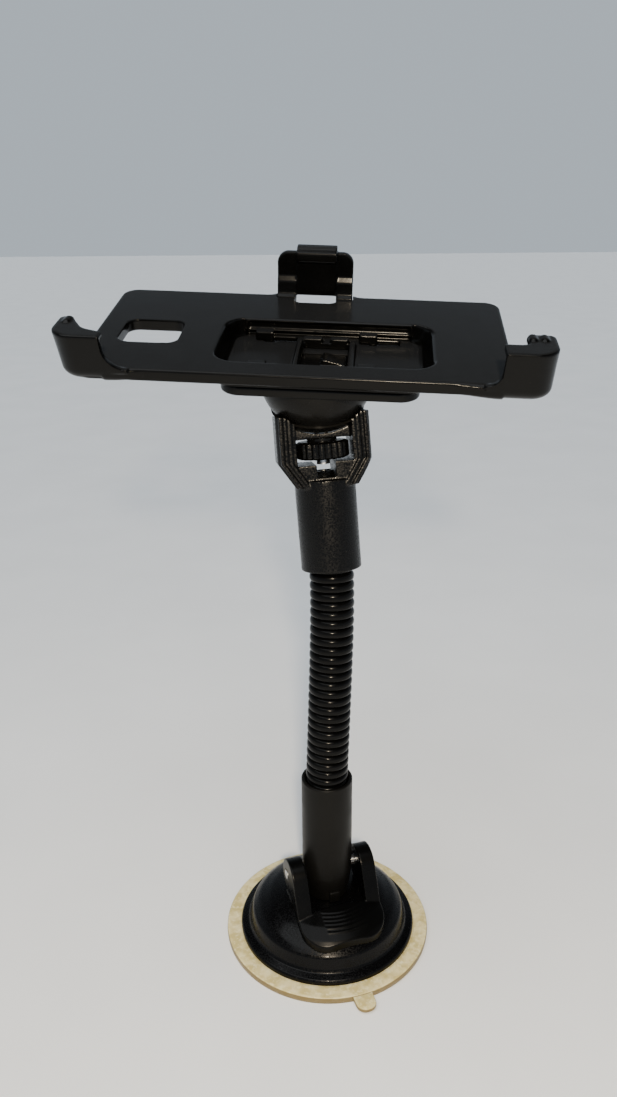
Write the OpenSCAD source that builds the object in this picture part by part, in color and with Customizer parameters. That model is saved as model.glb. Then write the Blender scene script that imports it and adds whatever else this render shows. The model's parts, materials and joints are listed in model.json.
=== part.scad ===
// Car phone mount: lever suction base, gooseneck, ball joint and clip-on phone cradle.
// Millimetres, +Z up. The origin is the centre of the suction cup's bottom face.

/* [Suction base] */
// Diameter of the suction cup
cup_d = 70; // [66:1:76]
// Thickness of the suction cup's rim
cup_t = 2.3; // [2:0.1:2.6]
// Diameter of the base shell
shell_d = 60; // [58:1:62]
// Turn of the base, and with it the lever, about the vertical axis
base_yaw = 19; // [0:1:40]
// Height of the lever pin above the ground, with the lever locked
pin_z = 25; // [24.5:0.1:25.5]
// Offset of the lever's round cam from its pin, which sets the pull on the cup
cam_offset = 2.2; // [1.8:0.1:2.4]
// Outer radius of the lower socket
socket_r = 8.4; // [8.2:0.1:8.6]

/* [Gooseneck] */
// Height of the neck's first bend, at the mouth of the lower socket
neck_z = 61; // [60:0.5:64]
// Number of neck segments
segment_count = 13; // [11:1:14]
// Length of one segment, which carries two ribs
segment_l = 5.7; // [5.6:0.1:6]
// Radius of the circle through the ribs' centres
rib_ring_r = 6; // [5.8:0.1:6.1]
// Radius of a rib's round section
rib_r = 0.9; // [0.7:0.05:0.9]
// Backward lean of the neck's top end
lean_back = 9; // [0:1:14]
// Sideways lean of the neck's bottom end
lean_side_foot = 1.9; // [0:0.1:3]
// Change of the sideways lean towards the top end
lean_side_turn = 6.2; // [0:0.1:8]

/* [Collar and ball joint] */
// Outer radius of the upper collar's tube
collar_r = 9.2; // [9:0.1:9.6]
// Width over the collar's two arms
yoke_w = 28; // [27.6:0.2:29]
// Turn of the collar about its own axis
collar_turn = 7; // [-20:1:20]
// Depth of the arms, front to back
yoke_d = 14.5; // [14:0.1:15]
// Radius of the knurled nut
nut_r = 8; // [7.6:0.1:8.1]
// Outer radius of the swivel bowl
bowl_r = 17; // [16.8:0.1:17.2]
// Height of the bowl's centre above the collar's mouth
ball_s = 58.6; // [58.2:0.1:59]
// Forward tilt of the head on the collar
tilt_forward = 24.5; // [-26:0.1:26]
// Sideways tilt of the head on the collar
tilt_side = 2.3; // [-9:0.1:9]
// Turn of the head about its own axis
head_turn = -12.1; // [-30:0.1:30]

/* [Cradle] */
// Length of the cradle plate
plate_l = 120; // [117:0.5:124]
// Width of the cradle plate
plate_w = 62; // [61:0.5:64]
// Thickness of the cradle plate
plate_t = 3.4; // [3:0.1:3.6]
// Height of the corner claws above the floor
claw_h = 10.4; // [9:0.1:12]
// Height of the back clip's frame above the floor
clip_h = 13.6; // [13:0.1:15]

/* [Hidden] */
// Segments on round surfaces
$fn = 96;
hull_fn = 32;
gap = 0.3;
fit = 0.05;
eps = 0.02;

// Base heights
shell_z = cup_t + 0.05;
shell_top = 16;
shell_roof = 13.4;
pad_top = 18.4;
cam_r = pin_z - pad_top - 0.1;
stem_r = 3.5;
pin_r = 1.5;
pin_half = 14.6;
stem_travel = 2;
membrane_r = 22.8;
membrane_rise = 2.3;
membrane_t = 1.5;
arm_in = 9.5;
arm_t = 5;
socket_foot = 16;

// Collar heights, from the mouth
mouth_inset = 1.7;
window_bottom = 32.9;
window_top = 39.6;
nut_s = 33.6;
nut_h = 5.2;
washer_t = 0.7;
window_half = nut_r + gap;
web_half = 3;
left_floor = 32.2;
notch_half = 2.8;
arm_top = 46.9;
bolt_end = 31.9;
bolt_r = 2;

// Ball joint shells, outside in
hole_angle = 38;
bowl_inner_r = bowl_r - 2;
outer_ring_in = bowl_r + fit;
outer_ring_out = bowl_r + 0.75;
seat_r = bowl_r + 0.8;
inner_ring_out = bowl_inner_r - fit;
inner_ring_in = bowl_inner_r - 0.75;
cap_r = bowl_inner_r - 0.8;
cap_angle = 45;

// Head and cradle heights, from the cradle's floor
ball_x = 4.5;
ball_y = -6.5;
head_bottom = -9.8;
head_top = -7.2;
pocket_bottom = -6.9;
pocket_floor = -5.4;
slide_travel = 6.5;
hook_w = 5.4;
hook_stem = 2.5;
hook_d = 3.7;
hook_left = [-14.8, 16.4];
hook_row = [7, -14.5];
hook_top = [-2.6, -3.6];
latch_x = -1;
latch_z = -8;
latch_y = -4;

function segment_name(k) = str("neck_segment_", k < 10 ? "0" : "", k);

// ---------- places ----------

module in_base() rotate([0, 0, base_yaw]) children();

// Lean of the neck at joint k, back and to the side
function back_at(k) = k < 0 ? 0 : lean_back * k / segment_count;
function side_at(k) = k < 0 ? 0 : lean_side_foot - lean_side_turn * pow(k / segment_count, 5);

// Frame of neck joint k, carried up from the joint below
module at_joint(k) {
    if (k < 0)
        translate([0, 0, neck_z - segment_l]) children();
    else
        at_joint(k - 1)
            translate([0, 0, segment_l])
                rotate([back_at(k - 1) - back_at(k), 0, 0])
                    rotate([0, side_at(k) - side_at(k - 1), 0])
                        children();
}

module in_collar()
    at_joint(segment_count) rotate([0, 0, collar_turn]) translate([0, 0, -mouth_inset]) children();
module at_ball() in_collar() translate([0, 0, ball_s]) children();
module in_outer_ring() at_ball() rotate([tilt_forward, 0, 0]) children();
module in_inner_ring() in_outer_ring() rotate([0, tilt_side, 0]) children();
module in_bowl() in_inner_ring() rotate([0, 0, head_turn]) children();

// The cradle's own frame: the floor's centre, long side along X
module in_head() in_bowl() translate([-ball_x, -ball_y, -head_bottom]) children();

// ---------- shared shapes ----------

module rounded_rect(w, d, r) {
    for (x = [-1, 1], y = [-1, 1])
        translate([x * (w / 2 - r), y * (d / 2 - r)]) circle(r);
    square([w - 2 * r, d], center = true);
    square([w, d - 2 * r], center = true);
}

module rounded_block(x0, x1, y0, y1, z0, z1, r) {
    translate([(x0 + x1) / 2, (y0 + y1) / 2, z0])
        linear_extrude(z1 - z0) rounded_rect(x1 - x0, y1 - y0, r);
}

module block(x0, x1, y0, y1, z0, z1) {
    translate([x0, y0, z0]) cube([x1 - x0, y1 - y0, z1 - z0]);
}

// Extrudes an X-Z outline along Y, centred
module across_y(d) rotate([90, 0, 0]) linear_extrude(d, center = true) children();

// Extrudes a Y-Z outline along X, from x0 for the length w
module across_x(x0, w)
    translate([x0, 0, 0]) rotate([90, 0, 90]) linear_extrude(w) children();

module rib(z) translate([0, 0, z]) rotate_extrude() translate([rib_ring_r, 0]) circle(rib_r);

// Cone about the downward axis, from the ball's centre
module down_cone(angle, r) mirror([0, 0, 1]) cylinder(h = r, r1 = 0, r2 = r * tan(angle));

// Part of a hollow sphere between two angles from the downward axis
module sphere_band(r_in, r_out, a_in, a_out) {
    intersection() {
        difference() {
            sphere(r_out);
            sphere(r_in);
            down_cone(a_in, r_out + 1);
        }
        down_cone(a_out, r_out + 1);
    }
}

// ---------- suction base ----------

module suction_cup() color("#e9dfb4") in_base() {
    difference() {
        union() {
            cylinder(h = cup_t, d = cup_d);
            hull() {
                translate([0, -cup_d / 2 + 1, 0.4]) cylinder(h = 1.6, r = 3.4);
                translate([0, -cup_d / 2 - 2.4, 0.4]) cylinder(h = 1.6, r = 3.4);
            }
        }
        translate([0, 0, -1]) cylinder(h = cup_t + 2, r = membrane_r + 0.1);
    }
}

module cup_membrane() color("#e9dfb4")
    rotate_extrude() polygon([
        [0, membrane_rise], [8, membrane_rise], [membrane_r, 0.5],
        [membrane_r, 0.5 + membrane_t], [8, membrane_rise + membrane_t], [0, membrane_rise + membrane_t]]);

module cup_stem() color("#2a2a2b") in_base() {
    difference() {
        union() {
            translate([0, 0, membrane_rise + membrane_t]) cylinder(h = 1.4, r = 9);
            translate([0, 0, membrane_rise + membrane_t]) cylinder(h = pin_z + 4 - 3.8, r = stem_r);
        }
        translate([0, 0, pin_z]) rotate([0, 90, 0]) cylinder(h = 20, r = pin_r, center = true);
    }
}

module lever_pin() color("#b9bbbd") in_base()
    translate([0, 0, pin_z]) rotate([0, 90, 0]) cylinder(h = 2 * pin_half, r = pin_r, center = true);

// Outer profile of the shell, raised by a clearance
function dome(rise) = [
    [0, shell_top + rise], [8, shell_top + rise], [14, 15 + rise], [19.5, 13.4 + rise],
    [23.6, 11.4 + rise], [25.8, 9.4 + rise], [26.8, 5.6 + rise]];

module base_shell() color("#232426") in_base() {
    difference() {
        union() {
            rotate_extrude() polygon(concat(dome(0), [
                [27.1, 4.9], [28, 4.7], [shell_d / 2 - 0.4, 4.1],
                [shell_d / 2, 3.7], [shell_d / 2, shell_z], [25.2, shell_z], [24.2, 7.6],
                [22.6, 9.4], [18.6, 11.2], [13.2, 12.8], [7.6, shell_roof], [6.2, shell_roof],
                [6.2, 8.2], [0, 8.2]]));
            for (s = [-1, 1])
                block(s > 0 ? arm_in : -arm_in - arm_t, s > 0 ? arm_in + arm_t : -arm_in,
                      -cam_offset - 3, -cam_offset + 3, 12.6, pad_top);
        }
        translate([0, 0, 5]) cylinder(h = 20, r = stem_r + fit);
        for (s = [-1, 1]) {
            translate([0, s * 5.1, 5]) cylinder(h = 20, r = 0.8);
            translate([0, s * 5.1, 5]) cylinder(h = 5.5, r = 1.5);
        }
    }
}

module lower_socket() color("#1f2021") in_base() {
    difference() {
        union() {
            translate([0, 0, socket_foot]) cylinder(h = 9, r1 = 7.1, r2 = socket_r);
            translate([0, 0, socket_foot + 9 - eps]) cylinder(h = neck_z - socket_foot - 9, r = socket_r);
        }
        translate([0, 0, socket_foot - 1]) cylinder(h = 16, r = stem_r + 0.4);
        for (s = [-1, 1])
            translate([0, s * 5.1, socket_foot - 1]) cylinder(h = 5.4, r = 0.8);
        hull() for (z = [pin_z - stem_travel, pin_z])
            translate([0, 0, z]) rotate([0, 90, 0])
                cylinder(h = 30, r = pin_r + 0.2, center = true, $fn = hull_fn);
        translate([0, 0, 39]) cylinder(h = 30, r = 6.4);
        translate([0, 0, neck_z - 6]) cylinder(h = 10, r = 7.3);
    }
    // Small lug at the tube's foot
    translate([0, -7.6, socket_foot + 2]) cube([3.6, 1.6, 4], center = true);
}

module socket_screws() color("#9a9c9f") in_base()
    for (s = [-1, 1]) translate([0, s * 5.1, 0]) {
        translate([0, 0, 9.2]) cylinder(h = 1.3, r = 1.5);
        translate([0, 0, 10.5 - eps]) cylinder(h = 9, r = 0.8);
    }

module lock_lever() color("#1d1e1f") in_base() {
    difference() {
        union() {
            for (x = [-arm_in - arm_t, arm_in]) across_x(x, arm_t) hull() {
                translate([-cam_offset, pin_z]) circle(cam_r, $fn = 2 * hull_fn);
                translate([-12.2, 16.2]) circle(1.1, $fn = hull_fn);
            }
            // Thumb plate that follows the dome
            intersection() {
                difference() {
                    rotate_extrude() polygon(concat(dome(3), [[0, 5]]));
                    rotate_extrude() polygon(concat(dome(0.35), [[27.2, 0], [0, 0]]));
                }
                translate([0, -14, 0]) linear_extrude(30) difference() {
                    rounded_rect(2 * (arm_in + arm_t), 20, 9);
                    translate([-20, 2]) square([40, 20]);
                }
            }
        }
        // Room for the pads under the cams
        block(-20, 20, -cam_offset - 3.4, 1.2, 10, pad_top + 0.1);
        translate([0, 0, pin_z]) rotate([0, 90, 0]) cylinder(h = 40, r = pin_r + fit, center = true);
    }
}

// ---------- gooseneck ----------

// Ball on top of a piece, at the height of the next joint
module knob(z) {
    translate([0, 0, z]) sphere(2.5);
    translate([0, 0, z - 1.2]) cylinder(h = 1.2, r = 1.9);
}

// Bore in which the knob below turns
module knob_bore() translate([0, 0, -1]) cylinder(h = 4.4, r = 2.6);

module lower_ferrule() color("#17181a") {
    translate([0, 0, 39]) cylinder(h = 16.5, r = 6.4);
    translate([0, 0, 55]) cylinder(h = neck_z - 0.45 - 55, r = 5.2);
    rib(neck_z - segment_l / 4);
    rib(neck_z - 3 * segment_l / 4);
    knob(neck_z);
}

module neck_segment(k) color("#1a1b1d") at_joint(k - 1) {
    difference() {
        union() {
            translate([0, 0, 0.45]) cylinder(h = segment_l - 0.9, r = 5.2);
            rib(segment_l / 4);
            rib(3 * segment_l / 4);
        }
        knob_bore();
    }
    knob(segment_l);
}

module upper_ferrule() color("#17181a") in_collar() {
    difference() {
        union() {
            translate([0, 0, mouth_inset + 0.45]) cylinder(h = 5, r = 5.2);
            translate([0, 0, 6.4]) cylinder(h = 12.6, r = 6.6);
            rib(mouth_inset + segment_l / 4);
        }
        translate([0, 0, mouth_inset]) knob_bore();
    }
}

// ---------- collar ----------

// Right half of the yoke's front outline, moved inwards
function yoke_side(inset) = [
    [collar_r - inset, 25.8],
    [yoke_w / 2 - inset, window_bottom + 0.4],
    [yoke_w / 2 - 0.2 - inset, arm_top]];

// Raised strip that follows the yoke's outline
module side_strip(inset, w) {
    inner = yoke_side(inset + w);
    polygon(concat(yoke_side(inset), [inner[2], inner[1], inner[0]]));
}

module upper_collar() color("#1c1c1c") in_collar() {
    difference() {
        union() {
            cylinder(h = 27.6, r = collar_r);
            intersection() {
                across_y(yoke_d) polygon(concat(
                    [[0, 25]], yoke_side(0),
                    [for (i = [2, 1, 0]) [-yoke_side(0)[i][0], yoke_side(0)[i][1]]]));
                linear_extrude(60) rounded_rect(yoke_w, yoke_d, 3);
            }
            for (m = [0, 1], inset = [0.9, 3.3]) mirror([m, 0, 0])
                across_y(yoke_d + 1) side_strip(inset, 1.1);
        }
        translate([0, 0, ball_s]) sphere(seat_r);
        // Window for the nut, with a lower floor on the left
        across_y(30) polygon([
            [-window_half, left_floor], [-notch_half, left_floor], [-notch_half, window_bottom],
            [window_half, window_bottom], [window_half, window_top], [-window_half, window_top]]);
        // The front and the back are open from the nut up to the bowl
        for (m = [0, 1]) mirror([0, m, 0])
            block(-window_half, window_half, web_half, 12, window_bottom, arm_top + 1);
        // Notch for the bolt's end, its floor sloping down to the front and the back
        across_y(30) translate([-notch_half, 30]) square([2 * notch_half, 5]);
        for (m = [0, 1]) mirror([0, m, 0]) across_x(-notch_half, 2 * notch_half)
            polygon([[-2, 30.1], [-2, 31], [-12, 31], [-12, 27]]);
        cylinder(h = 50, r = bolt_r + fit);
        translate([0, 0, 5]) cylinder(h = 14, r = 6.6);
        translate([0, 0, -1]) cylinder(h = 7.4, r = 7.6);
    }
}

module clamp_bolt() color("#a4a6a8") at_ball() {
    difference() {
        union() {
            sphere_band(cap_r - 1.3, cap_r, 0.1, cap_angle);
            intersection() {
                sphere(cap_r);
                translate([0, 0, -cap_r - 1]) cylinder(h = 5, r = 4.2);
            }
        }
        // Hexagon recess in the bolt's head
        translate([0, 0, -cap_r + 2.2]) cylinder(h = 3, r = 2.3, $fn = 6);
    }
    translate([0, 0, bolt_end - ball_s]) cylinder(h = ball_s - bolt_end - cap_r + 1, r = bolt_r);
}

module nut_washer() color("#8f9194") in_collar()
    translate([0, 0, nut_s + nut_h + fit]) difference() {
        cylinder(h = washer_t, r = 4.5);
        translate([0, 0, -1]) cylinder(h = 4, r = bolt_r + fit);
    }

module knurled_nut() color("#1b1b1b") in_collar()
    translate([0, 0, nut_s]) difference() {
        linear_extrude(nut_h) polygon([for (i = [0 : 95])
            let (a = i * 360 / 96, r = nut_r - (i % 4 < 2 ? 0 : 0.55)) r * [cos(a), sin(a)]]);
        translate([0, 0, -1]) cylinder(h = nut_h + 2, r = bolt_r + fit);
    }

// ---------- head ----------

module outer_friction_ring() color("#303133") in_outer_ring()
    sphere_band(outer_ring_in, outer_ring_out, hole_angle, 52);

module inner_friction_ring() color("#303133") in_inner_ring()
    sphere_band(inner_ring_in, inner_ring_out, hole_angle, 48);

screw_places = [for (a = [30, 150, 210, 330]) 12.6 * [cos(a), sin(a)]];

module swivel_bowl() color("#3a3b3d") in_bowl() {
    difference() {
        union() {
            difference() {
                sphere(bowl_r);
                sphere(bowl_inner_r);
                down_cone(hole_angle, bowl_r + 1);
            }
            for (p = screw_places) translate([p[0], p[1], -3.7]) cylinder(h = 3.7, r = 2);
        }
        translate([-25, -25, 0]) cube([50, 50, 25]);
        for (p = screw_places) translate([p[0], p[1], -3.2]) cylinder(h = 4, r = 0.8);
    }
}

module bowl_screws() color("#9a9c9f") in_bowl()
    for (p = screw_places) translate([p[0], p[1], 0]) {
        translate([0, 0, head_top - head_bottom - 1.2]) cylinder(h = 1.2, r = 1.5);
        translate([0, 0, -3.1]) cylinder(h = 5, r = 0.8);
    }

module hook(x, y, top) {
    block(x + hook_w - hook_stem, x + hook_w, y - hook_d / 2, y + hook_d / 2, head_top - eps, top);
    block(x, x + hook_w, y - hook_d / 2, y + hook_d / 2, pocket_floor + 0.2, top);
}

module head_plate() color("#222324") in_head() {
    difference() {
        rounded_block(-21.9, 34.5, -24.2, 10.6, head_bottom, head_top, 6);
        block(latch_x - 1.1, 13.8, latch_y - 5.4, latch_y + 5.4, -12, -5);
        for (p = screw_places) translate([ball_x + p[0], ball_y + p[1], head_bottom]) {
            translate([0, 0, -1]) cylinder(h = 5, r = 0.8);
            translate([0, 0, head_top - head_bottom - 1.2]) cylinder(h = 3, r = 1.5);
        }
    }
    for (x = hook_left, row = [0, 1]) hook(x, hook_row[row], hook_top[row]);
}

module latch_tongue() color("#161718") in_head()
    translate([0, latch_y, 0]) {
        across_y(10) polygon([
            [latch_x, latch_z - 0.8], [latch_x, latch_z + 0.8],
            [5.6, head_top], [13, head_top], [13, -8.8]]);
        translate([latch_x, 0, latch_z]) rotate([90, 0, 0]) cylinder(h = 10, r = 0.8, center = true);
        across_y(6) polygon([
            [5.4, head_top - 0.4], [6.2, -5.6], [6.9, -5.6], [12.9, -7], [12.9, head_top - 0.4]]);
    }

// ---------- cradle ----------

claw_size = 14;
claw_wall = 2.1;
claw_corner = 6.5;
claw_end = [-64.5, 68.5];
claw_near = -35.2;
claw_bottom = -4.6;
claw_bevel = 2.2;
claw_lean = 3.8;
plate_mid = -0.5;

// Square with one round outer corner at the origin side
module claw_outline(inset) {
    s = claw_size;
    r = claw_corner - inset;
    translate([claw_corner, claw_corner]) circle(r);
    translate([claw_corner, inset]) square([s - claw_corner, s - inset]);
    translate([inset, claw_corner]) square([s - inset, s - claw_corner]);
}

// Leans the near wall out: the top stays, and the bottom moves in by claw_lean
module leaning() {
    k = claw_lean / (claw_h - claw_bottom);
    multmatrix([[1, 0, 0, 0], [0, 1, -k, k * claw_h], [0, 0, 1, 0], [0, 0, 0, 1]]) children();
}

// Corner cup: bevelled floor, wall round the corner, and a lip with a hollow inner edge
module claw() {
    difference() {
        union() {
            translate([0, 0, claw_bottom + claw_bevel])
                linear_extrude(claw_h - claw_bottom - claw_bevel) claw_outline(0);
            hull() {
                translate([0, 0, claw_bottom + claw_bevel])
                    linear_extrude(eps) claw_outline(0, $fn = hull_fn);
                translate([0, 0, claw_bottom]) linear_extrude(eps) claw_outline(claw_bevel, $fn = hull_fn);
            }
        }
        translate([0, 0, -0.4]) linear_extrude(claw_h - 1.4) difference() {
            claw_outline(claw_wall);
            translate([claw_size, -1]) square(30);
            translate([-1, claw_size]) square(30);
        }
        translate([claw_size, claw_size, -0.4]) cylinder(h = 20, r = 8.6);
        translate([claw_size, claw_wall, -0.4]) cube([1, 20, 20]);
    }
    for (d = [3, 6.2])
        translate([d, claw_size - 1.2, claw_h - eps]) intersection() {
            sphere(1.4);
            translate([-2, -2, 0]) cube([4, 4, 2]);
        }
}

module cradle() color("#2b2d30") in_head() {
    difference() {
        union() {
            rounded_block(plate_mid - plate_l / 2, plate_mid + plate_l / 2, -plate_w / 2, plate_w / 2,
                          -plate_t, 0, 5);
            hull() {
                rounded_block(-25.2, 39.6, -24.4, 10.8, -plate_t - eps, -plate_t + eps, 3, $fn = hull_fn);
                rounded_block(-21.9, 34.5, -24.4, 10.8, pocket_bottom, pocket_bottom + eps, 3,
                              $fn = hull_fn);
            }
            translate([claw_end[0], claw_near, 0]) leaning() claw();
            translate([claw_end[1], claw_near, 0]) mirror([1, 0, 0]) leaning() claw();
        }
        // Pocket
        hull() {
            rounded_block(-23.6, 38.1, -22.9, 9.3, 0, 1, 5, $fn = hull_fn);
            rounded_block(-21.8, 35.4, -22.9, 9.3, pocket_floor, pocket_floor + eps, 5, $fn = hull_fn);
        }
        // Slots in which the hooks slide
        for (x = hook_left, y = hook_row)
            block(x + hook_w - hook_stem - 0.25, x + hook_w + slide_travel + 0.5,
                  y - hook_d / 2 - 0.25, y + hook_d / 2 + 0.25, -12, -3);
        // Centre opening for the latch
        block(-0.2, 13.3, -14, 4.8, -12, -3);
        // Camera window
        rounded_block(-53, -35.5, -12, 4.7, -5, 5, 3.2);
        // Notch for the back clip
        rounded_block(-5, 8, 24.5, 40, -5, 5, 2);
        block(-10.9 - gap, 13.1 + gap, plate_w / 2 - 2.6, 40, -5, 5);
    }
    for (x = [[-1.4, -0.4], [13.5, 15.2]]) block(x[0], x[1], -14, 4.8, pocket_floor - eps, -4.4);
    for (x = [[0.4, 6], [8.8, 14]]) block(x[0], x[1], 5.4, 9.3 + eps, pocket_floor - eps, -4.2);
}

clip_y = plate_w / 2 - 2.3;
clip_foot = 0.1;

module back_clip() color("#222324") in_head() {
    difference() {
        union() {
            // Two posts that bend up from the plate
            for (x = [[-10.9, -4.9], [7.9, 13.1]]) across_x(x[0], x[1] - x[0])
                polygon([[clip_y, -plate_t], [clip_y + 3, -plate_t], [clip_y + 4.6, -0.4],
                         [clip_y + 4.6, 6.2], [clip_y + 2.4, 6.2], [clip_y + 1.6, 4.6], [clip_y + 1.2, 0.8],
                         [clip_y, 0]]);
            // Frame
            translate([1.1, clip_y + 4.6, 0]) rotate([90, 0, 0]) linear_extrude(2.2)
                translate([0, (clip_h + 1.2) / 2]) rounded_rect(24, clip_h - 1.2, 3.4);
        }
        block(-4.9, 7.9, 20, 50, -5, clip_foot);
    }
    // Hook panel with its overhanging lip
    block(-4.7, 7.9, clip_y + 1.8, clip_y + 4.8, clip_foot, clip_h + 1.9);
    across_x(-4.7, 12.6) polygon([
        [clip_y + 3, clip_h + 1.9], [clip_y - 0.6, clip_h + 0.7],
        [clip_y - 0.6, clip_h - 2], [clip_y + 3, clip_h - 2.8]]);
}

// ---------- assembly ----------

suction_cup();
cup_membrane();
cup_stem();
lever_pin();
lock_lever();
base_shell();
lower_socket();
socket_screws();
lower_ferrule();
for (k = [1 : segment_count])
    neck_segment(k);
upper_ferrule();
upper_collar();
clamp_bolt();
nut_washer();
knurled_nut();
outer_friction_ring();
inner_friction_ring();
swivel_bowl();
bowl_screws();
head_plate();
latch_tongue();
cradle();
back_clip();
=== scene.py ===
"""Car phone mount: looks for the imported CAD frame.

Lengths are millimetres in each piece's own frame, and metres once a piece is placed.
"""

import json
import math

import bmesh
import bpy
from mathutils import Matrix, Vector


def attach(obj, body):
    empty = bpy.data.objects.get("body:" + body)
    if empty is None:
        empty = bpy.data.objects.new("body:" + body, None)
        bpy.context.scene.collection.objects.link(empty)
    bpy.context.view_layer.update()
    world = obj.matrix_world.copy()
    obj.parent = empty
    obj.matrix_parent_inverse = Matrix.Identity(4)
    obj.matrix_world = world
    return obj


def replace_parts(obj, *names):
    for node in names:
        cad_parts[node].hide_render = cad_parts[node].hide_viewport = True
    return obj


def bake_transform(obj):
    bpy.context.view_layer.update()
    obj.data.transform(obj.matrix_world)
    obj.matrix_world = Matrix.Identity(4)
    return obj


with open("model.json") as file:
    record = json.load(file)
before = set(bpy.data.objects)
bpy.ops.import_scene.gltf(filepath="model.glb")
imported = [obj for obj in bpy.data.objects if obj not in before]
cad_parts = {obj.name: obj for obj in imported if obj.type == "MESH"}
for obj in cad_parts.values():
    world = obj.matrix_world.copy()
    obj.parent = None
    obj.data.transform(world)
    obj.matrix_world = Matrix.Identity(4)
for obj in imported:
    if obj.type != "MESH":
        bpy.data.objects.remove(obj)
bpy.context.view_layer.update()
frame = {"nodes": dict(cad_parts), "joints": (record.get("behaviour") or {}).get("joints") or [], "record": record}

MM = 0.001
SCALE = Matrix.Scale(MM, 4)
NODES = frame["nodes"]
JOINTS = {j["name"]: j for j in frame["joints"]}


# ---------- camera ----------

FOCAL_PX, IMAGE_H_PX, SENSOR_MM = 888, 1097, 36
CAMERA_AT = Vector((0, -0.2481, 0.2337))
PITCH_DOWN, YAW, ROLL = (math.radians(a) for a in (20.46, -1.24, -0.52))

look = Vector((math.sin(YAW) * math.cos(PITCH_DOWN),
               math.cos(YAW) * math.cos(PITCH_DOWN),
               -math.sin(PITCH_DOWN)))
level_right = Vector((math.cos(YAW), -math.sin(YAW), 0))
level_up = level_right.cross(look)
right = math.cos(ROLL) * level_right + math.sin(ROLL) * level_up
up = -math.sin(ROLL) * level_right + math.cos(ROLL) * level_up

camera = bpy.data.objects.new("camera", bpy.data.cameras.new("camera"))
camera.matrix_world = Matrix.Translation(CAMERA_AT) @ Matrix((right, up, -look)).transposed().to_4x4()
camera.data.sensor_width = SENSOR_MM
camera.data.lens = FOCAL_PX / IMAGE_H_PX * SENSOR_MM
camera.data.clip_start = 0.01
bpy.context.scene.collection.objects.link(camera)
bpy.context.scene.camera = camera


# ---------- places, from the record's joints ----------


def frame_at(origin, x_axis, z_axis):
    """Right-handed frame at origin, in metres."""
    z = Vector(z_axis).normalized()
    x = Vector(x_axis)
    x = (x - x.dot(z) * z).normalized()
    return Matrix.Translation(origin) @ Matrix((x, z.cross(x), z)).transposed().to_4x4()


def joint_at(name):
    return Vector(JOINTS[name]["pos_m"])


def joint_axis(name):
    return Vector(JOINTS[name]["axis"])


NECK_JOINTS = 14
BALL_HEIGHT = 58.6  # of the ball's centre above the collar's mouth
BALL_IN_HEAD = Vector((4.5, -6.5, -9.8))  # from the cradle's floor centre

ball = joint_at("tilt_fore")
in_row = Matrix.Identity(4)
in_base = frame_at((0, 0, 0), -joint_axis("lever_lift"), (0, 0, 1))
in_bowl = frame_at(ball, -joint_axis("cradle_slide"), joint_axis("head_spin"))
in_head = in_bowl @ Matrix.Translation(-BALL_IN_HEAD * MM)
collar_up = joint_axis("nut_turn")
in_collar = frame_at(ball - collar_up * BALL_HEIGHT * MM, joint_axis("tilt_fore"), collar_up)


def neck_frame(k):
    """Frame at neck joint k, with Z towards the next joint."""
    here = joint_at("bend_%02d" % k)
    ahead = collar_up if k == NECK_JOINTS - 1 else joint_at("bend_%02d" % (k + 1)) - here
    axis = joint_axis("bend_%02d" % k)
    return frame_at(here, axis if k % 2 == 0 else axis.cross(ahead), ahead)


# ---------- shapes, in millimetres ----------


def fillet(points, steps=6):
    """Rounds the corners of a closed outline. A point is (x, y) or (x, y, radius)."""
    rounded = []
    for i, p in enumerate(points):
        here = Vector(p[:2])
        if len(p) < 3:
            rounded.append(here)
            continue
        a = Vector(points[i - 1][:2]) - here
        b = Vector(points[(i + 1) % len(points)][:2]) - here
        half = a.angle(b) / 2
        cut = min(p[2] / math.tan(half), 0.49 * a.length, 0.49 * b.length)
        a.normalize()
        b.normalize()
        centre = here + (a + b).normalized() * cut / math.cos(half)
        start, end = here + a * cut - centre, here + b * cut - centre
        turn = math.atan2(start.x * end.y - start.y * end.x, start.dot(end))
        rounded += [centre + Matrix.Rotation(turn * s / steps, 2) @ start for s in range(steps + 1)]
    return [tuple(p) for p in rounded]


def rounded_rect(x0, x1, y0, y1, r):
    return fillet([(x0, y0, r), (x1, y0, r), (x1, y1, r), (x0, y1, r)], steps=8)


def inset(outline, d):
    """Moves an anticlockwise outline inwards by d."""
    moved = []
    for i, p in enumerate(outline):
        a, b = Vector(outline[i - 1]), Vector(outline[(i + 1) % len(outline)])
        t = (b - a).normalized()
        moved.append((p[0] - t.y * d, p[1] + t.x * d))
    return moved


def rings_to_mesh(rings, loop=False):
    """Joins rings of equal length into one skin, with flat ends unless it loops back to the first."""
    bm = bmesh.new()
    made = [[bm.verts.new(p) for p in ring] for ring in rings]
    n = len(made[0])
    pairs = list(zip(made, made[1:])) + ([(made[-1], made[0])] if loop else [])
    for low, high in pairs:
        for i in range(n):
            j = (i + 1) % n
            bm.faces.new((low[i], low[j], high[j], high[i]))
    if not loop:
        bm.faces.new(made[0][::-1])
        bm.faces.new(made[-1])
    return bm


def lathe(profile, sides=96, radius=None):
    """Turns a closed (r, z) outline round Z. radius(r, z, angle) may change the radius."""
    rings = []
    for r, z in profile:
        ring = []
        for i in range(sides):
            a = 2 * math.pi * i / sides
            rr = radius(r, z, a) if radius else r
            ring.append((rr * math.cos(a), rr * math.sin(a), z))
        rings.append(ring)
    bm = rings_to_mesh(rings, loop=True)
    bmesh.ops.remove_doubles(bm, verts=bm.verts, dist=1e-5)
    bmesh.ops.dissolve_degenerate(bm, edges=bm.edges, dist=1e-5)
    bmesh.ops.recalc_face_normals(bm, faces=bm.faces)
    return bm


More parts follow.
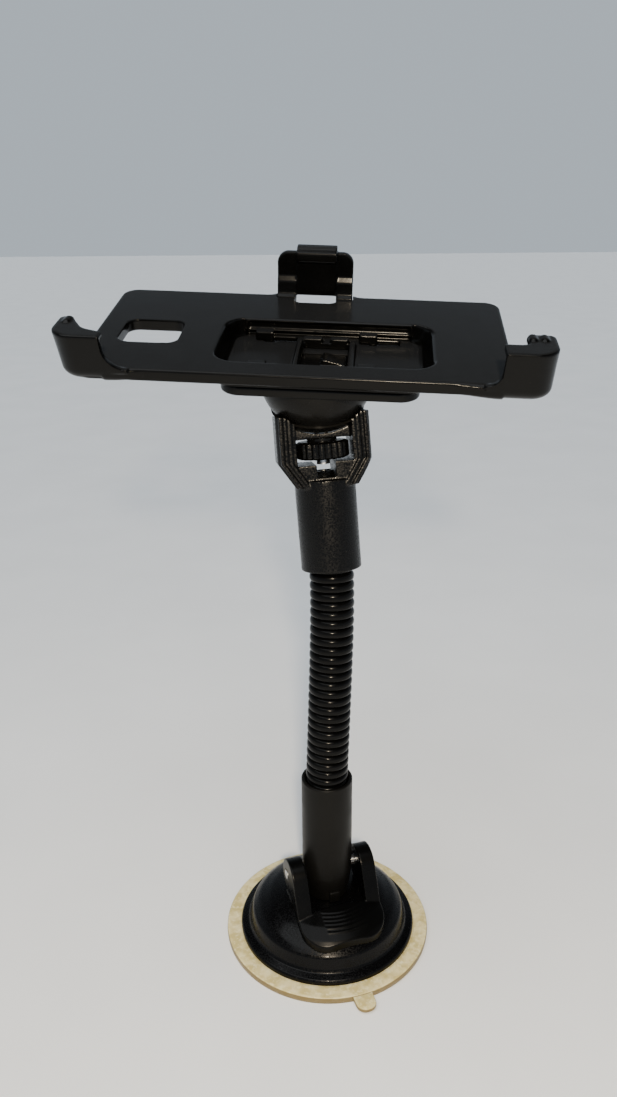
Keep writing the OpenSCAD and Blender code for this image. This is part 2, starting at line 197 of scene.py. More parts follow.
def prism(outline, z0, z1, edge=0.3, steps=4):
    """Extrudes an anticlockwise outline from z0 to z1, with rounded edges."""
    rings = []
    for s in range(steps + 1):
        a = math.pi / 2 * s / steps
        rings.append((edge * (1 - math.sin(a)), z0 + edge * (1 - math.cos(a))))
    rings += [(d, z0 + z1 - z) for d, z in reversed(rings)]
    return rings_to_mesh([[(x, y, z) for x, y in inset(outline, d)] for d, z in rings])


def tube(points, radius, sides=16):
    """Round rod along a path, with domed ends."""
    path = [Vector(p) for p in points]
    rings = []

    def ring(centre, direction, r):
        x = Vector((0, 0, 1)).cross(direction) if abs(direction.z) < 0.9 else direction.orthogonal()
        x.normalize()
        y = direction.cross(x)
        turn = [2 * math.pi * i / sides for i in range(sides)]
        return [centre + (x * math.cos(a) + y * math.sin(a)) * r for a in turn]

    for i, p in enumerate(path):
        direction = (path[min(i + 1, len(path) - 1)] - path[max(i - 1, 0)]).normalized()
        if i == 0:
            for a in (0.05, 0.5, 1.0):
                rings.append(ring(p - direction * radius * math.cos(a), direction, radius * math.sin(a)))
        rings.append(ring(p, direction, radius))
        if i == len(path) - 1:
            for a in (1.0, 0.5, 0.05):
                rings.append(ring(p + direction * radius * math.cos(a), direction, radius * math.sin(a)))
    return rings_to_mesh(rings)


def transformed(bm, matrix):
    bmesh.ops.transform(bm, matrix=matrix, verts=bm.verts)
    return bm


def joined(*solids):
    """One mesh of several, which may overlap."""
    whole = solids[0]
    for bm in solids[1:]:
        spare = bpy.data.meshes.new("spare")
        bm.to_mesh(spare)
        bm.free()
        whole.from_mesh(spare)
        bpy.data.meshes.remove(spare)
    return whole


def cad_copy(node, place):
    """A CAD node's closed mesh in a piece's own frame."""
    bm = bmesh.new()
    bm.from_mesh(NODES[node].data)
    bmesh.ops.transform(bm, matrix=(place @ SCALE).inverted(), verts=bm.verts)
    bmesh.ops.remove_doubles(bm, verts=bm.verts, dist=2e-3)
    return bm


def loose_object(bm, name="work"):
    mesh = bpy.data.meshes.new(name)
    bm.to_mesh(mesh)
    bm.free()
    obj = bpy.data.objects.new(name, mesh)
    bpy.context.scene.collection.objects.link(obj)
    return obj


def with_modifiers(obj):
    """The object's mesh with its modifiers applied; the object is removed."""
    bpy.context.view_layer.update()
    mesh = bpy.data.meshes.new_from_object(obj.evaluated_get(bpy.context.evaluated_depsgraph_get()))
    bpy.data.objects.remove(obj)
    bm = bmesh.new()
    bm.from_mesh(mesh)
    bpy.data.meshes.remove(mesh)
    return bm


def combined(bm, other, operation, use_self=False):
    """The boolean of two meshes; use_self allows for an other that overlaps itself."""
    obj, tool = loose_object(bm), loose_object(other, "tool")
    modifier = obj.modifiers.new("combined", "BOOLEAN")
    modifier.operation, modifier.solver, modifier.object = operation, "EXACT", tool
    modifier.use_self = use_self
    made = with_modifiers(obj)
    bpy.data.objects.remove(tool)
    return made


def cut(bm, *cutters):
    """bm less the cutters."""
    return combined(bm, joined(*cutters), "DIFFERENCE", use_self=True)


def moulded(bm, voxel, smooth=4, keep=0.35):
    """Merges overlapping solids into one skin with softly rounded edges, as a moulding has."""
    obj = loose_object(bm)
    remesh = obj.modifiers.new("remesh", "REMESH")
    remesh.mode, remesh.voxel_size, remesh.adaptivity = "VOXEL", voxel, 0
    soft = obj.modifiers.new("smooth", "SMOOTH")
    soft.factor, soft.iterations = 0.5, smooth
    lighter = obj.modifiers.new("lighter", "DECIMATE")
    lighter.ratio = keep
    return with_modifiers(obj)


# ---------- materials ----------


class Shader:
    """A Principled material, with short ways to add its procedural nodes."""

    def __init__(self, name, **values):
        self.material = bpy.data.materials.new(name)
        self.material.use_nodes = True
        self.tree = self.material.node_tree
        self.surface = self.tree.nodes["Principled BSDF"]
        for socket, value in values.items():
            self.surface.inputs[socket.replace("_", " ")].default_value = value
        self.coordinates = self.node("ShaderNodeTexCoord").outputs["Object"]

    def node(self, kind, **values):
        made = self.tree.nodes.new(kind)
        for key, value in values.items():
            if key in made.inputs:
                made.inputs[key].default_value = value
            else:
                setattr(made, key, value)
        return made

    def link(self, source, target):
        self.tree.links.new(source, target)

    def noise(self, size_mm, detail=3, stretch=(1, 1, 1)):
        """Noise whose blobs are about size_mm across."""
        mapping = self.node("ShaderNodeMapping")
        mapping.inputs["Scale"].default_value = stretch
        self.link(self.coordinates, mapping.inputs["Vector"])
        made = self.node("ShaderNodeTexNoise", Scale=1 / (size_mm * MM), Detail=detail)
        self.link(mapping.outputs["Vector"], made.inputs["Vector"])
        return made.outputs["Fac"]

    def ramp(self, source, low, high, at=(0.3, 0.7)):
        """Maps at[0]…at[1] of the source to low…high."""
        made = self.node("ShaderNodeMapRange")
        for key, value in zip(("From Min", "From Max", "To Min", "To Max"), (*at, low, high)):
            made.inputs[key].default_value = value
        self.link(source, made.inputs["Value"])
        return made.outputs["Result"]

    def mix(self, share, a, b):
        """Colour between a and b, which are colours or sockets."""
        made = self.node("ShaderNodeMix", data_type="RGBA")
        self.link(share, made.inputs["Factor"])
        for socket, value in ((made.inputs[6], a), (made.inputs[7], b)):
            if isinstance(value, bpy.types.NodeSocket):
                self.link(value, socket)
            else:
                socket.default_value = (*value, 1)
        return made.outputs[2]

    def colour(self, source):
        self.link(source, self.surface.inputs["Base Color"])

    def roughness(self, source):
        self.link(source, self.surface.inputs["Roughness"])

    def bump(self, *layers):
        """Each layer is (height, depth in mm), the coarsest first."""
        normal = None
        for height, depth_mm in layers:
            made = self.node("ShaderNodeBump", Distance=depth_mm * MM)
            self.link(height, made.inputs["Height"])
            if normal:
                self.link(normal, made.inputs["Normal"])
            normal = made.outputs["Normal"]
        self.link(normal, self.surface.inputs["Normal"])


def plastic(name, colour, rough, grain_mm, grain_depth, handled=0.04, ior=1.22, top=None, sparkle=None):
    """Moulded plastic: fine grain, uneven gloss from handling, paler worn edges and a little dust.

    A piece may have its upward faces painted a top colour, a painted sheen and bluish reflection of the light from
    above, or specks of a size in mm that sparkle in its grain.
    """
    s = Shader(name, IOR=ior)
    edge = s.ramp(s.node("ShaderNodeNewGeometry").outputs["Pointiness"], 0, 0.6, at=(0.53, 0.62))
    darker, lighter, worn = [tuple(share * c for c in colour) for share in (0.8, 1.2, 2)]
    tone = s.mix(s.ramp(s.noise(14, detail=2), 0, 1), darker, lighter)
    dust = s.ramp(s.noise(0.5, detail=1), 0, 0.12, at=(0.76, 0.82))
    smeared = s.ramp(s.noise(5, detail=5, stretch=(1, 0.4, 1)), rough - handled, rough + handled)
    # Painted highlight: faces turned up blend to the top colour, a painted sheen and bluish reflection of the
    # light from above.
    if top:
        facing = s.node("ShaderNodeSeparateXYZ")
        s.link(s.node("ShaderNodeNewGeometry").outputs["Normal"], facing.inputs[0])
        tone = s.mix(s.ramp(facing.outputs["Z"], 0, 1, at=(0.75, 0.93)), tone, top)
    s.colour(s.mix(dust, s.mix(edge, tone, worn), (0.1, 0.1, 0.097)))
    patchy = s.ramp(s.noise(sparkle, detail=1), 0.45, 1.9) if sparkle else s.ramp(s.noise(9), 0.92, 1.1)
    blend = s.node("ShaderNodeMath", operation="MULTIPLY")
    s.link(patchy, blend.inputs[0])
    s.link(smeared, blend.inputs[1])
    s.roughness(blend.outputs[0])
    s.bump((s.noise(3, detail=2), 0.02), (s.noise(grain_mm, detail=2), grain_depth))
    return s.material


def pvc(name):
    """Soft translucent PVC, cloudy, and yellower through its edge."""
    s = Shader(name, IOR=1.5, Subsurface_Weight=0.35, Subsurface_Scale=0.003)
    s.surface.inputs["Subsurface Radius"].default_value = (1.0, 0.8, 0.45)
    clouds = s.ramp(s.noise(3.5, detail=5), 0, 1, at=(0.4, 0.62))
    cloudy = s.mix(clouds, (0.54, 0.45, 0.19), (0.74, 0.65, 0.36))
    flecks = s.ramp(s.noise(1.3, detail=3), 0, 0.8, at=(0.52, 0.72))
    milky = s.mix(flecks, cloudy, (0.84, 0.77, 0.50))
    facing = s.node("ShaderNodeSeparateXYZ")
    s.link(s.node("ShaderNodeNewGeometry").outputs["Normal"], facing.inputs[0])
    side = s.ramp(facing.outputs["Z"], 0.92, 0, at=(0.4, 0.9))
    s.colour(s.mix(side, milky, (0.13, 0.085, 0.02)))
    s.roughness(s.ramp(s.noise(4, detail=4), 0.3, 0.5))
    s.bump((s.noise(6, detail=3), 0.06), (s.noise(0.6), 0.01))
    return s.material


def steel(name):
    """Zinc-plated steel with turning marks."""
    s = Shader(name, Metallic=1.0)
    s.colour(s.mix(s.ramp(s.noise(2.5, detail=4), 0, 1), (0.46, 0.46, 0.47), (0.66, 0.66, 0.67)))
    s.roughness(s.ramp(s.noise(1.2, detail=4), 0.24, 0.42))
    s.bump((s.noise(0.25, stretch=(1, 1, 6)), 0.006))
    return s.material


# Moulded plastics: colour, roughness, grain size in mm, grain depth in mm, and what sets each apart
PLASTICS = {
    "base_plastic": ((0.0014, 0.0014, 0.0016), 0.22, 0.35, 0.006, {"sparkle": 0.5}),
    "lever_plastic": ((0.0014, 0.0014, 0.0014), 0.28, 0.3, 0.004, {"ior": 1.2}),
    "tube_plastic": ((0.0042, 0.004, 0.0036), 0.36, 0.3, 0.006, {"ior": 1.2}),
    "neck_plastic": ((0.0016, 0.0016, 0.0016), 0.2, 0.6, 0.002, {"ior": 1.2}),
    "collar_plastic": ((0.0014, 0.0013, 0.0011), 0.25, 0.45, 0.05, {"ior": 1.28, "sparkle": 0.5}),
    "bowl_plastic": ((0.004, 0.0038, 0.0035), 0.26, 0.3, 0.004, {"ior": 1.2}),
    # The cradle's top colour is a painted sheen and bluish reflection of the light from above, on its upward
    # faces.
    "cradle_plastic": ((0.0013, 0.0013, 0.0012), 0.2, 0.22, 0.005, {"top": (0.0085, 0.009, 0.0098)}),
    "black_plastic": ((0.002, 0.002, 0.002), 0.2, 0.3, 0.005, {"ior": 1.28}),
}
MATERIALS = {"pvc": pvc("pvc"), "steel": steel("zinc_steel")}
for name, (colour, rough, grain, depth, apart) in PLASTICS.items():
    MATERIALS[name] = plastic(name, colour, rough, grain, depth, **apart)


# ---------- placing pieces ----------


def finished(name, bm, place, slot, sharp_deg=35):
    """The piece in the row frame, shaded and painted, with its slot."""
    mesh = bpy.data.meshes.new(name)
    bmesh.ops.recalc_face_normals(bm, faces=bm.faces)
    bm.to_mesh(mesh)
    bm.free()
    mesh.transform(place @ SCALE)
    mesh.shade_smooth()
    mesh.set_sharp_from_angle(angle=math.radians(sharp_deg))
    mesh.materials.append(MATERIALS[slot])
    obj = bpy.data.objects.new(name, mesh)
    bpy.context.scene.collection.objects.link(obj)
    return obj


def piece(name, bm, place, slot, body, stands_for=(), sharp_deg=35):
    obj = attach(finished(name, bm, place, slot, sharp_deg), body)
    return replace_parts(obj, *stands_for) if stands_for else obj


# The CAD nodes that stay get the same finishes
SLOT_OF = {p["node"]: p["material_slot"] for p in frame["record"]["subparts"]}
for node_name, node_object in NODES.items():
    node_object.data.materials.clear()
    node_object.data.materials.append(MATERIALS[SLOT_OF[node_name]])


# ---------- suction cup and base ----------

CUP_R, CUP_T = 35, 2.3
MEMBRANE_GAP_R = 22.9

cup_ring = lathe(fillet([
    (MEMBRANE_GAP_R, 0), (CUP_R - 0.1, 0, 0.3), (CUP_R, 1.1, 0.8), (CUP_R - 0.1, CUP_T, 0.45),
    (30.6, CUP_T, 0.4), (30.2, CUP_T - 0.12, 0.3), (MEMBRANE_GAP_R, CUP_T - 0.12)]), sides=144)
tab_outline = fillet([(-3.4, -CUP_R + 2), (-3.2, -CUP_R - 5.6, 2.9),
                      (3.2, -CUP_R - 5.6, 2.9), (3.4, -CUP_R + 2)])
tab = prism(tab_outline, 0.45, 1.95, edge=0.5)
piece("cup_ring", cup_ring, in_base, "pvc", "base", ["suction_cup"])
piece("cup_tab", tab, in_base, "pvc", "base")

# The dome's outside from its tube opening to its brim: radius, height and corner radius
DOME = [(8, 16, 8), (14, 15, 14), (19.5, 13.4, 12), (23.6, 11.4, 7), (25.8, 9.4, 2.5), (26.8, 5.6, 3)]
BRIM = [(27.4, 4.7, 0.8), (29.6, 4.1, 0.6), (30, 3.5, 0.4), (30, 2.35)]
DOME_INSIDE = [(25.2, 2.35), (24.2, 7.6), (22.6, 9.4), (18.6, 11.2), (13.2, 12.8), (7.6, 13.4)]
HUB = [(6.2, 13.4), (6.2, 8.2), (3.6, 8.2)]


def dome_height(r):
    """Height of the dome's outside at radius r, with its corners left sharp."""
    points = [(0, DOME[0][1])] + [(r0, z0) for r0, z0, _ in DOME]
    for (r0, z0), (r1, z1) in zip(points, points[1:]):
        if r <= r1:
            return z0 + (z1 - z0) * (r - r0) / (r1 - r0)
    return points[-1][1]


shell = lathe(fillet([(3.6, 16)] + DOME + BRIM + DOME_INSIDE + HUB, steps=8), sides=144)
piece("base_dome", shell, in_base, "base_plastic", "base", ["base_shell"])
for side in (-1, 1):
    pad = prism(rounded_rect(side * 12 - 2.5, side * 12 + 2.5, -5.2, 0.8, 0.6), 12.6, 18.4, edge=0.4)
    piece("fork_pad_%s" % ("left" if side < 0 else "right"), pad, in_base, "base_plastic", "base")

# ---------- lower tube ----------

TUBE_R, TUBE_TOP, TUBE_FOOT = 8.4, 61, 16
socket = lathe(fillet([
    (3.9, TUBE_FOOT), (7.0, TUBE_FOOT, 0.2), (7.15, 16.6, 0.3), (TUBE_R - 0.05, 25, 6), (TUBE_R, 31, 6),
    (TUBE_R, TUBE_TOP, 0.5), (7.3, TUBE_TOP, 0.4), (7.3, 55, 0.2), (6.4, 55), (6.4, 39), (3.9, 31)],
    steps=6), sides=96)
SLOT_BOTTOM, SLOT_TOP, SLOT_HALF = 21.3, 26.7, 1.7
along_x = Matrix(((0, 0, 1, 0), (0, 1, 0, 0), (1, 0, 0, 0), (0, 0, 0, 1)))
slot_outline = fillet([(z, y, 1.6) for z, y in ((SLOT_BOTTOM, -SLOT_HALF), (SLOT_TOP, -SLOT_HALF),
                                                (SLOT_TOP, SLOT_HALF), (SLOT_BOTTOM, SLOT_HALF))])
slot_cutter = transformed(prism(slot_outline, -15, 15, edge=0.01), along_x)
bmesh.ops.recalc_face_normals(slot_cutter, faces=slot_cutter.faces)
socket = cut(socket, slot_cutter)
towards_front = Matrix(((1, 0, 0, 0), (0, 0, -1, 0), (0, 1, 0, 0), (0, 0, 0, 1)))
lug = transformed(prism(rounded_rect(-1.8, 1.8, TUBE_FOOT + 0.1, 20, 0.6), 6.9, 8.3, edge=0.4), towards_front)
piece("lower_tube", socket, in_base, "tube_plastic", "base", ["lower_socket"])
piece("tube_lug", lug, in_base, "tube_plastic", "base")

# ---------- lever ----------

GRIP_RADII = [14.6 + 1.3 * i for i in range(6)]
GRIP_HALF_DEG, GRIP_MID_R = 21, 18
GRIP_LIFT = 2.72  # of a ridge's middle line above the dome


def grip_ridge(r):
    """Raised arc across the thumb plate, at radius r from the base's axis."""
    half = math.radians(GRIP_HALF_DEG * GRIP_MID_R / r)
    z = dome_height(r) + GRIP_LIFT
    angles = [-math.pi / 2 + half * (2 * i / 24 - 1) for i in range(25)]
    return tube([(r * math.cos(a), r * math.sin(a), z) for a in angles], 0.45)


lever = joined(cad_copy("lock_lever", in_base), *[grip_ridge(r) for r in GRIP_RADII])
piece("lever", moulded(lever, 0.22, smooth=5), in_base, "lever_plastic", "lever", ["lock_lever"])

# ---------- gooseneck ----------

SEGMENT = 5.7
PITCH = SEGMENT / 2
CREST_R, GROOVE_R = 6.9, 5.75
RIB_STEPS = 12


def ribbed(z0, ribs):
    """(r, z) points of a number of ribs from height z0 upwards."""
    points = []
    for i in range(ribs):
        for s in range(RIB_STEPS):
            a = -1 + 2 * s / RIB_STEPS
            crest = (1 - abs(a) ** 2.6) ** 0.55
            points.append((GROOVE_R + (CREST_R - GROOVE_R) * crest, z0 + (i + (a + 1) / 2) * PITCH))
    return points + [(GROOVE_R, z0 + ribs * PITCH)]


def bent(bm, below, above):
    """Moves a mesh made about a joint to the row frame, turned from the frame below to the one above."""
    turn_below, turn_above = below.to_quaternion(), above.to_quaternion()
    origin = above.to_translation()
    for v in bm.verts:
        share = min(max(v.co.z / (2 * PITCH) + 0.5, 0), 1)
        v.co = (origin + turn_below.slerp(turn_above, share) @ (v.co * MM)) / MM
    return bm


for k in range(NECK_JOINTS):
    above = neck_frame(k)
    below = neck_frame(k - 1) if k else in_row
    profile = [(0, -PITCH), *ribbed(-PITCH, 2), (0, PITCH)]
    sleeve = finished("neck_sleeve_%02d" % k, bent(lathe(profile, sides=72), below, above), in_row,
                      "neck_plastic", sharp_deg=80)
    if k < NECK_JOINTS - 1:
        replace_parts(sleeve, "neck_segment_%02d" % (k + 1))
    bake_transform(sleeve)

NECK_Z = joint_at("bend_00").z / MM
root = lathe([(0, 39), (6.4, 39), (6.4, 55), (GROOVE_R, 55.2), *ribbed(NECK_Z - 2 * PITCH, 1),
              (0, NECK_Z - PITCH)], sides=72)
piece("neck_root", root, in_row, "neck_plastic", "base", ["lower_ferrule"], sharp_deg=80)
TIP_Z = 1.7 + PITCH
tip = lathe([(0, TIP_Z), (GROOVE_R, TIP_Z), (GROOVE_R, 6.4), (6.6, 6.4), (6.6, 19), (0, 19)], sides=72)
piece("neck_tip", tip, in_collar, "neck_plastic", "collar", ["upper_ferrule"], sharp_deg=80)

# ---------- collar and clamp ----------

piece("collar", moulded(cad_copy("upper_collar", in_collar), 0.24, smooth=3), in_collar, "collar_plastic",
      "collar", ["upper_collar"])

NUT_R, NUT_BOTTOM, NUT_TOP, KNURLS = 8, 33.6, 38.8, 22


def knurl(r, z, angle):
    """Rounded knurls that fade out towards the nut's faces."""
    if r < 6:
        return r
    wave = 0.5 + 0.5 * math.cos(KNURLS * angle)
    return r - 0.6 * (1 - wave ** 0.6) * min(1, (r - 6) / 1.2)


nut = lathe(fillet([
    (2.05, NUT_BOTTOM), (7.0, NUT_BOTTOM, 0.2), (NUT_R, NUT_BOTTOM + 0.5, 0.4), (NUT_R, NUT_TOP - 0.5, 0.4),
    (7.0, NUT_TOP, 0.2), (2.05, NUT_TOP)], steps=4), sides=KNURLS * 12, radius=knurl)
piece("knurled_ring", nut, in_collar, "collar_plastic", "nut", ["knurled_nut"], sharp_deg=50)

# ---------- swivel bowl ----------

BOWL_R, BOWL_INNER_R, HOLE_DEG, EDGE = 17, 15, 38, 0.3


def sphere_arc(r, from_deg, to_deg, steps):
    """(r, z) points on a sphere, by angle from straight down."""
    angles = [math.radians(from_deg + (to_deg - from_deg) * i / steps) for i in range(steps + 1)]
    return [(r * math.sin(a), -r * math.cos(a)) for a in angles]


bowl = lathe(sphere_arc(BOWL_R, HOLE_DEG + 1, 88.5, 32) + [(16.9, -0.06), (16.7, 0), (15.1, 0)]
             + sphere_arc(BOWL_INNER_R, 89, HOLE_DEG + 1, 20)
             + sphere_arc(BOWL_INNER_R + EDGE, HOLE_DEG, HOLE_DEG, 1)[:1]
             + sphere_arc(BOWL_R - EDGE, HOLE_DEG, HOLE_DEG, 1)[:1], sides=128)
piece("ball_bowl", bowl, in_bowl, "bowl_plastic", "head", ["swivel_bowl"])

# ---------- head plate, cradle and clip ----------

piece("clamp_plate", moulded(cad_copy("head_plate", in_head), 0.3, smooth=4), in_head, "cradle_plastic",
      "head", ["head_plate"])
piece("latch", moulded(cad_copy("latch_tongue", in_head), 0.2, smooth=3), in_head, "black_plastic", "latch",
      ["latch_tongue"])

# The tray: plate, pocket and two corner claws
PLATE_T = 3.4
PLATE = (-60.5, 59.5, -31, 31)  # x0, x1, y0, y1, as for each opening below
CAMERA_WINDOW = (-53, -35.5, -12, 4.7)
CLIP_WINDOW = (-5, 8, 24.5, 40)
CLIP_LEFT, CLIP_RIGHT = -11.2, 13.4
CLAW_LEFT, CLAW_RIGHT = -64.5, 68.5
CLAW, CLAW_H, CLAW_NEAR, WALL = 14, 10.4, -35.2, 2.1
CLAW_FLOOR, LIP_UNDER, CLAW_LEAN, CLAW_CORNER = -0.4, 8.6, 3.8, 6.5
PLATE_EDGE = PLATE[2] - CLAW_NEAR  # of the plate, from the claw's near face
POCKET_FLOOR, POCKET_BOTTOM = -5.4, -6.9
POCKET_LEFT, POCKET_RIGHT, POCKET_NEAR, POCKET_FAR = -21.8, 35.4, -22.9, 9.3
STRIP_LEFT, STRIP_RIGHT, STRIP_NEAR, STRIP_FAR = -18.3, 32.3, 8.7, 10  # frame in the pocket's far wall
LATCH_WINDOW = (-0.2, 13.3, -14, 4.8)
HOOK_W, HOOK_STEM, HOOK_D, HOOKS_U, HOOK_ROWS_V = 5.4, 2.5, 3.7, (-14.8, 16.4), (7, -14.5)
SLIDE, HOOK_ROOM = 6.5, 0.25
BELOW, ABOVE = -12, 5  # heights clear of the plate


def quarter(d, r):
    """How far a rounded edge of radius r has drawn in, at the distance d from its end."""
    return r - math.sqrt(r * r - (r - d) ** 2) if d < r else 0


def smoothstep(t):
    t = min(max(t, 0), 1)
    return t * t * (3 - 2 * t)


def claw(bottom, fairing, corner, end_lean, hollow, teeth):
    """Corner cup with its outer corner at the origin, and leaning walls.

    Its lip has low teeth and a hollow inner edge, a line of (x, y, corner radius). A fairing of that length
    runs into the plate's edge, and a round corner of that radius fills the angle of the wall and the plate.
    """
    def lean(h):
        return CLAW_LEAN * (CLAW_H - h) / (CLAW_H - bottom)

    heights = [bottom + 3.4 * (1 - math.cos(math.pi / 2 * i / 8)) for i in range(9)]
    heights += [3, 6, 9] + [CLAW_H - 0.6 * math.cos(math.pi / 2 * i / 4) for i in range(5)]
    rings = []
    for h in heights:
        drawn = quarter(h - bottom, 3.4) + quarter(CLAW_H - h, 0.6)
        x0, y0 = drawn + end_lean * lean(h), drawn + lean(h)
        rings.append([(x, y, h) for x, y in fillet(
            [(CLAW, y0), (CLAW, CLAW), (x0, CLAW, 1.4), (x0, y0, CLAW_CORNER)], steps=10)])
    body = rings_to_mesh(rings)
    cavity = rings_to_mesh([[(x, y, h) for x, y in fillet(
        [(20, lean(h) + WALL), (20, 20), (WALL + end_lean * lean(h), 20),
         (WALL + end_lean * lean(h), lean(h) + WALL, CLAW_CORNER - WALL)], steps=10)]
        for h in (CLAW_FLOOR, LIP_UNDER)])
    opening = prism(fillet(hollow + [(36, hollow[-1][1]), (36, 36), (hollow[0][0], 36)], steps=12),
                    CLAW_FLOOR, CLAW_H + 4, edge=0.01)
    body = cut(body, cavity, opening)
    for x in teeth:
        body = joined(body, tube([(x, CLAW - 4, CLAW_H - 0.85), (x, CLAW - 1.6, CLAW_H - 0.85)], 1.55))
    sections = []
    for i in range(17):
        k = smoothstep(i / 16)
        low = (1 - k) * bottom - k * PLATE_T
        near, top = [(1 - k) * (lean(h) + 0.05) + k * (PLATE_EDGE + 0.05) for h in (bottom, -0.3)]
        outline = fillet([(near, low, 3.4 - 2.4 * k), (CLAW, low), (CLAW, -0.5), (top, -0.3, 0.5)], steps=8)
        sections.append([(CLAW - 1 + fairing * i / 16, y, h) for y, h in outline])
    inside = rings_to_mesh([[(CLAW - 2, lean(h) + 0.06, h), (CLAW + run, lean(h) + 0.06, h),
                             (CLAW + run, lean(h) + WALL, h), (CLAW - 2, lean(h) + WALL, h)]
                            for h, run in [(-1, corner)] + [(corner * (1 - math.cos(math.pi / 2 * i / 8)),
                                                            corner * (1 - math.sin(math.pi / 2 * i / 8)))
                                                           for i in range(9)]])
    return joined(body, rings_to_mesh(sections), inside)


def block(x0, x1, y0, y1, z0, z1, r=0.4):
    return prism(rounded_rect(x0, x1, y0, y1, r), z0, z1, edge=0.01)


def tapered(low, low_z, high, high_z):
    """Solid between two rounded rectangles (x0, x1, y0, y1, r)."""
    return rings_to_mesh([[(x, y, low_z) for x, y in rounded_rect(*low)],
                          [(x, y, high_z) for x, y in rounded_rect(*high)]])


def clip_fillet(u, side):
    """Concave corner of the plate's far edge and the clip's root at u; side is 1 on the left of the root."""
    return fillet([(u, 30), (u + side * 0.2, 33.1), (u - side * 0.5, 32.2), (u - side * 1.6, 31.4),
                   (u - side * 3.6, 30.9), (u - side * 4, 30)][::side])


def tray_mesh():
    """Plate with its hook pocket, camera window and clip opening, and the two claws."""
    mirrored = Matrix.Diagonal((-1, 1, 1, 1))
    left = transformed(
        claw(-4.0, fairing=12, corner=6, end_lean=0.3, hollow=[(3.7, 13.5), (8, 6.4, 6), (14, 4.2, 1)],
             teeth=(2.9,)),
        Matrix.Translation((CLAW_LEFT, CLAW_NEAR, 0)))
    right = transformed(
        claw(-4.6, fairing=16, corner=4, end_lean=0, hollow=[(7.2, 12), (7.2, 7, 5)], teeth=(3.3, 6.3)),
        Matrix.Translation((CLAW_RIGHT, CLAW_NEAR, 0)) @ mirrored)
    bmesh.ops.reverse_faces(right, faces=right.faces)
    plate = prism(rounded_rect(*PLATE, 5), -PLATE_T, 0, edge=0.55)
    bulge = tapered((-21.9, 34.5, -24.4, 10.8, 3), POCKET_BOTTOM,
                    (-25.2, 39.6, -24.4, 10.8, 3), -PLATE_T + 0.2)
    fillets = [prism(clip_fillet(u, side), -PLATE_T + 0.2, -0.1, edge=0.1)
               for u, side in ((CLIP_LEFT, 1), (CLIP_RIGHT, -1))]
    pocket = rings_to_mesh([
        [(x, y, h) for x, y in rounded_rect(POCKET_LEFT - out, POCKET_RIGHT + 1.5 * out,
                                            POCKET_NEAR, POCKET_FAR, 5 + out)]
        for h, out in ((POCKET_FLOOR, -1), (-4.5, 0), (-2.5, 0.8), (-0.6, 1.5), (0.1, 2.2), (1, 3))])
    undercut = block(-18.2, 32, 8, 10.4, POCKET_FLOOR, -3.6)
    windows = [block(*LATCH_WINDOW, BELOW, -3),
               block(*CAMERA_WINDOW, -6, ABOVE, 3.4),
               block(*CLIP_WINDOW, -6, ABOVE, 2),
               block(CLIP_LEFT, CLIP_RIGHT, 28.4, 40, -6, ABOVE)]
    hook_slots = [block(x + HOOK_W - HOOK_STEM - HOOK_ROOM, x + HOOK_W + SLIDE + 2 * HOOK_ROOM,
                        y - HOOK_D / 2 - HOOK_ROOM, y + HOOK_D / 2 + HOOK_ROOM, BELOW, -3)
                  for x in HOOKS_U for y in HOOK_ROWS_V]
    plate = cut(cut(combined(plate, bulge, "UNION"), pocket), undercut, *windows, *hook_slots)
    buried = POCKET_FLOOR - 0.3
    rails = [block(x0, x1, *LATCH_WINDOW[2:], buried, -4.3) for x0, x1 in ((-2.0, -0.6), (13.6, 15.4))]
    rests = [block(x0, x1, 4.9, 7.6, buried, -4.1) for x0, x1 in ((-0.5, 5.3), (7.8, 13.3))]
    strip = [block(STRIP_LEFT, STRIP_RIGHT, STRIP_NEAR, STRIP_FAR, z, z + 0.7, 0.3) for z in (-3.75, -0.9)]
    strip += [block(x, x + 0.8, STRIP_NEAR, STRIP_FAR, -3.75, -0.2, 0.3)
              for x in (STRIP_LEFT, STRIP_RIGHT - 0.8)]
    return joined(plate, left, right, *fillets, *rails, *rests, *strip)


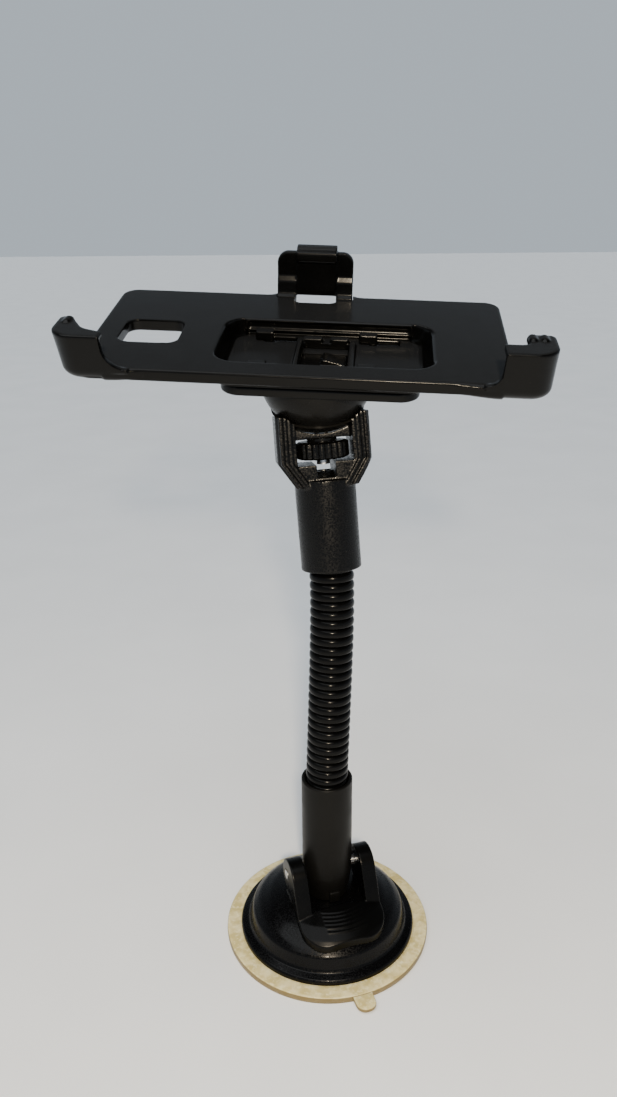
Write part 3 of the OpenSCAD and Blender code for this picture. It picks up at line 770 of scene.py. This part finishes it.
piece("tray", moulded(tray_mesh(), 0.3, smooth=4), in_head, "cradle_plastic", "cradle", ["cradle"])
piece("clip", moulded(cad_copy("back_clip", in_head), 0.24, smooth=4), in_head, "cradle_plastic", "clip",
      ["back_clip"])

# ---------- stage ----------

floor_bm = bmesh.new()
bmesh.ops.create_grid(floor_bm, x_segments=1, y_segments=1, size=6)
floor = loose_object(floor_bm, "floor")
paper = Shader("paper", Roughness=0.75)
paper.colour(paper.mix(paper.ramp(paper.noise(60), 0, 1), (0.84, 0.86, 0.88), (0.88, 0.90, 0.92)))
floor.data.materials.append(paper.material)

world = bpy.data.worlds.new("studio")
world.use_nodes = True
sky = world.node_tree
height = sky.nodes.new("ShaderNodeSeparateXYZ")
sky.links.new(sky.nodes.new("ShaderNodeTexCoord").outputs["Generated"], height.inputs[0])
fade = sky.nodes.new("ShaderNodeMapRange")
fade.interpolation_type = "SMOOTHSTEP"
for key, value in zip(("From Min", "From Max", "To Min", "To Max"), (0.25, 0.75, 0.6, 0.07)):
    fade.inputs[key].default_value = value
sky.links.new(height.outputs["Z"], fade.inputs["Value"])
sky.nodes["Background"].inputs["Color"].default_value = (0.80, 0.90, 1.0, 1)
sky.links.new(fade.outputs["Result"], sky.nodes["Background"].inputs["Strength"])
bpy.context.scene.world = world


def soft_light(name, kind, at, towards, size, power, colour):
    """A soft lamp: an area light, its size in metres and its power in watts, or a sun, its size in degrees."""
    light = bpy.data.lights.new(name, kind)
    light.energy, light.color = power, colour
    if kind == "SUN":
        light.angle = math.radians(size)
    else:
        light.shape, light.size = "DISK", size
    lamp = bpy.data.objects.new(name, light)
    lamp.matrix_world = (Matrix.Translation(at) @
                         (Vector(towards) - Vector(at)).to_track_quat("-Z", "Y").to_matrix().to_4x4())
    bpy.context.scene.collection.objects.link(lamp)


AIM = (0, 0, 0.12)
soft_light("key", "SUN", (0.25, -0.9, 0.85), AIM, 22, 0.12, (1, 0.98, 0.95))
soft_light("top", "SUN", (-0.3, -0.25, 1.4), AIM, 60, 2.2, (0.95, 0.98, 1))
soft_light("front", "AREA", (0.02, -0.42, 0.36), AIM, 0.03, 3.4, (1, 0.84, 0.62))
